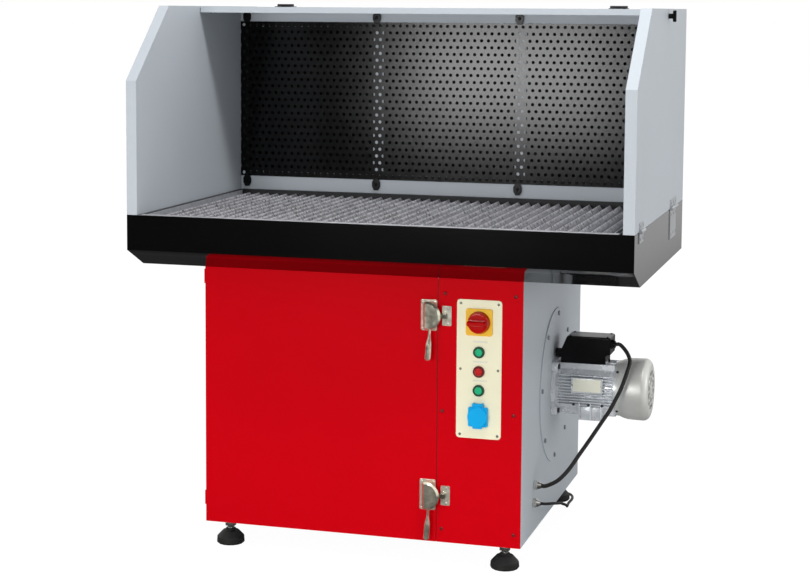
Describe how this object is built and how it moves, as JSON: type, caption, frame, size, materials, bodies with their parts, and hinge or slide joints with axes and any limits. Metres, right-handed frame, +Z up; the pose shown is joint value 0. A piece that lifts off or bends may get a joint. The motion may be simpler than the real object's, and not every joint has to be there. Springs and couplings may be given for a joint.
{
  "type": "downdraft table",
  "caption": "Downdraft grinding table with a grate tray, folding side wings, perforated rear wall and a filter cabinet with a side motor.",
  "frame": {"origin": "on the floor, under the middle of the table's width and depth, without its mains lead", "axes": "+Z up, +X to the right of the person at the table, +Y away from that person"},
  "size_m": [1.3406, 1.0492, 1.4195],
  "materials": {
    "grey_paint": "light grey powder coat, semi-gloss",
    "red_paint": "red powder coat, gloss",
    "black_gloss_paint": "black paint, high gloss",
    "black_paint": "black paint, satin",
    "galvanised_steel": "bright galvanised sheet",
    "bright_steel": "bright plated steel",
    "cast_aluminium": "cast aluminium, matt",
    "cowl_paint": "grey paint, satin",
    "black_plastic": "black moulded plastic",
    "black_rubber": "black rubber, matt",
    "cream_plastic": "cream laminate",
    "yellow_plastic": "yellow plastic, semi-gloss",
    "red_plastic": "red plastic, gloss",
    "green_plastic": "green plastic, gloss",
    "blue_plastic": "blue plastic, semi-gloss",
    "filter_media": "pleated filter fabric between metal caps"
  },
  "bodies": {
    "frame": {"cabinet_shell": "grey_paint", "inner_walls": "grey_paint", "rear_plenum": "grey_paint", "fan_housing": "grey_paint", "control_cover": "red_paint", "tray": "black_gloss_paint", "perforated_panel_left": "black_paint", "perforated_panel_middle": "black_paint", "perforated_panel_right": "black_paint", "grate_frame": "galvanised_steel", "grate_panel_left": "galvanised_steel", "grate_panel_middle": "galvanised_steel", "grate_panel_right": "galvanised_steel", "dust_bin": "galvanised_steel", "latch_keeper_upper": "bright_steel", "latch_keeper_lower": "bright_steel", "motor_gland": "bright_steel", "mains_gland": "bright_steel", "motor_body": "cast_aluminium", "fan_cowl": "cowl_paint", "terminal_box": "black_plastic", "motor_cable": "black_rubber", "mains_cord": "black_rubber", "mains_coil": "black_rubber", "mains_plug": "black_rubber", "control_plate": "cream_plastic", "switch_plate": "yellow_plastic", "socket_housing": "blue_plastic", "filter_cartridge_left": "filter_media", "filter_cartridge_right": "filter_media"},
    "wing_left": {"wing_left": "grey_paint"},
    "wing_right": {"wing_right": "grey_paint"},
    "wing_knob_left": {"wing_knob_left": "black_plastic"},
    "wing_knob_right": {"wing_knob_right": "black_plastic"},
    "roof_flap": {"roof_flap": "grey_paint"},
    "door": {"door": "red_paint", "latch_base_upper": "bright_steel", "latch_base_lower": "bright_steel"},
    "latch_lever_upper": {"latch_lever_upper": "bright_steel"},
    "latch_lever_lower": {"latch_lever_lower": "bright_steel"},
    "latch_claw_upper": {"latch_claw_upper": "bright_steel"},
    "latch_claw_lower": {"latch_claw_lower": "bright_steel"},
    "switch_knob": {"switch_knob": "red_plastic"},
    "button_start": {"button_start": "green_plastic"},
    "button_stop": {"button_stop": "red_plastic"},
    "button_light": {"button_light": "green_plastic"},
    "socket_lid": {"socket_lid": "blue_plastic"},
    "fan_rotor": {"fan_rotor": "cast_aluminium"},
    "turn_clip_top_1": {"turn_clip_top_1": "black_plastic"},
    "turn_clip_top_2": {"turn_clip_top_2": "black_plastic"},
    "turn_clip_top_3": {"turn_clip_top_3": "black_plastic"},
    "turn_clip_top_4": {"turn_clip_top_4": "black_plastic"},
    "turn_clip_bottom_1": {"turn_clip_bottom_1": "black_plastic"},
    "turn_clip_bottom_2": {"turn_clip_bottom_2": "black_plastic"},
    "turn_clip_bottom_3": {"turn_clip_bottom_3": "black_plastic"},
    "turn_clip_bottom_4": {"turn_clip_bottom_4": "black_plastic"},
    "foot_front_left": {"foot_front_left": "black_rubber"},
    "foot_front_right": {"foot_front_right": "black_rubber"},
    "foot_rear_left": {"foot_rear_left": "black_rubber"},
    "foot_rear_right": {"foot_rear_right": "black_rubber"}
  },
  "joints": [
    {"name": "wing_left_fold", "type": "hinge", "parent": "frame", "child": "wing_left", "pos_m": [-0.6548, -0.0115, 0.88015], "axis": [0, -1, 0], "range_deg": [0, 180]},
    {"name": "wing_right_fold", "type": "hinge", "parent": "frame", "child": "wing_right", "pos_m": [0.6548, -0.0115, 0.88015], "axis": [0, 1, 0], "range_deg": [0, 180]},
    {"name": "wing_knob_left_turn", "type": "hinge", "parent": "wing_left", "child": "wing_knob_left", "pos_m": [-0.65, 0.0585, 1.393], "axis": [-1, 0, 0], "continuous": true},
    {"name": "wing_knob_right_turn", "type": "hinge", "parent": "wing_right", "child": "wing_knob_right", "pos_m": [0.65, 0.0585, 1.393], "axis": [1, 0, 0], "continuous": true},
    {"name": "roof_flap_lift", "type": "hinge", "parent": "frame", "child": "roof_flap", "pos_m": [0, 0.2859, 1.4153], "axis": [-1, 0, 0], "range_deg": [0, 175]},
    {"name": "door_swing", "type": "hinge", "parent": "frame", "child": "door", "pos_m": [-0.4853, -0.3085, 0.4], "axis": [0, 0, -1], "range_deg": [0, 110]},
    {"name": "latch_lever_upper_turn", "type": "hinge", "parent": "door", "child": "latch_lever_upper", "pos_m": [0.12, -0.3566, 0.646], "axis": [0, 1, 0], "range_deg": [0, 140]},
    {"name": "latch_claw_upper_slide", "type": "slide", "parent": "door", "child": "latch_claw_upper", "axis": [1, 0, 0], "range_m": [0, 0.0094]},
    {"name": "latch_lever_lower_turn", "type": "hinge", "parent": "door", "child": "latch_lever_lower", "pos_m": [0.12, -0.3566, 0.188], "axis": [0, 1, 0], "range_deg": [0, 180]},
    {"name": "latch_claw_lower_slide", "type": "slide", "parent": "door", "child": "latch_claw_lower", "axis": [1, 0, 0], "range_m": [0, 0.0121]},
    {"name": "switch_turn", "type": "hinge", "parent": "frame", "child": "switch_knob", "pos_m": [0.25165, -0.3455, 0.6345], "axis": [0, 1, 0], "range_deg": [0, 90]},
    {"name": "button_start_press", "type": "slide", "parent": "frame", "child": "button_start", "axis": [0, 1, 0], "range_m": [0, 0.004], "stiffness_N_per_m": 600},
    {"name": "button_stop_press", "type": "slide", "parent": "frame", "child": "button_stop", "axis": [0, 1, 0], "range_m": [0, 0.004], "stiffness_N_per_m": 600},
    {"name": "button_light_press", "type": "slide", "parent": "frame", "child": "button_light", "axis": [0, 1, 0], "range_m": [0, 0.004], "stiffness_N_per_m": 600},
    {"name": "socket_lid_lift", "type": "hinge", "parent": "frame", "child": "socket_lid", "pos_m": [0.25165, -0.3516, 0.4275], "axis": [-1, 0, 0], "range_deg": [0, 95], "stiffness_Nm_per_rad": 0.02, "springref_deg": -11.46},
    {"name": "turn_clip_top_1_turn", "type": "hinge", "parent": "frame", "child": "turn_clip_top_1", "pos_m": [-0.6005, 0.2825, 1.3825], "axis": [0, 1, 0], "range_deg": [-90, 90]},
    {"name": "turn_clip_top_2_turn", "type": "hinge", "parent": "frame", "child": "turn_clip_top_2", "pos_m": [-0.207, 0.2825, 1.3825], "axis": [0, 1, 0], "range_deg": [-90, 90]},
    {"name": "turn_clip_top_3_turn", "type": "hinge", "parent": "frame", "child": "turn_clip_top_3", "pos_m": [0.207, 0.2825, 1.3825], "axis": [0, 1, 0], "range_deg": [-90, 90]},
    {"name": "turn_clip_top_4_turn", "type": "hinge", "parent": "frame", "child": "turn_clip_top_4", "pos_m": [0.6005, 0.2825, 1.3825], "axis": [0, 1, 0], "range_deg": [-90, 90]},
    {"name": "turn_clip_bottom_1_turn", "type": "hinge", "parent": "frame", "child": "turn_clip_bottom_1", "pos_m": [-0.6005, 0.2825, 0.9065], "axis": [0, 1, 0], "range_deg": [-90, 90]},
    {"name": "turn_clip_bottom_2_turn", "type": "hinge", "parent": "frame", "child": "turn_clip_bottom_2", "pos_m": [-0.207, 0.2825, 0.9065], "axis": [0, 1, 0], "range_deg": [-90, 90]},
    {"name": "turn_clip_bottom_3_turn", "type": "hinge", "parent": "frame", "child": "turn_clip_bottom_3", "pos_m": [0.207, 0.2825, 0.9065], "axis": [0, 1, 0], "range_deg": [-90, 90]},
    {"name": "turn_clip_bottom_4_turn", "type": "hinge", "parent": "frame", "child": "turn_clip_bottom_4", "pos_m": [0.6005, 0.2825, 0.9065], "axis": [0, 1, 0], "range_deg": [-90, 90]},
    {"name": "foot_front_left_screw", "type": "hinge", "parent": "frame", "child": "foot_front_left", "pos_m": [-0.43, -0.2885, 0], "axis": [0, 0, 1], "continuous": true},
    {"name": "foot_front_right_screw", "type": "hinge", "parent": "frame", "child": "foot_front_right", "pos_m": [0.312, -0.2885, 0], "axis": [0, 0, 1], "continuous": true},
    {"name": "foot_rear_left_screw", "type": "hinge", "parent": "frame", "child": "foot_rear_left", "pos_m": [-0.43, 0.3885, 0], "axis": [0, 0, 1], "continuous": true},
    {"name": "foot_rear_right_screw", "type": "hinge", "parent": "frame", "child": "foot_rear_right", "pos_m": [0.312, 0.3885, 0], "axis": [0, 0, 1], "continuous": true},
    {"name": "fan_rotor_spin", "type": "hinge", "parent": "frame", "child": "fan_rotor", "pos_m": [0.362, 0.0795, 0.404], "axis": [1, 0, 0], "continuous": true}
  ],
  "couplings": [
    {"joint": "latch_claw_upper_slide", "follows": "latch_lever_upper_turn", "m_per_rad": 0.00382},
    {"joint": "latch_claw_lower_slide", "follows": "latch_lever_lower_turn", "m_per_rad": 0.00382}
  ]
}
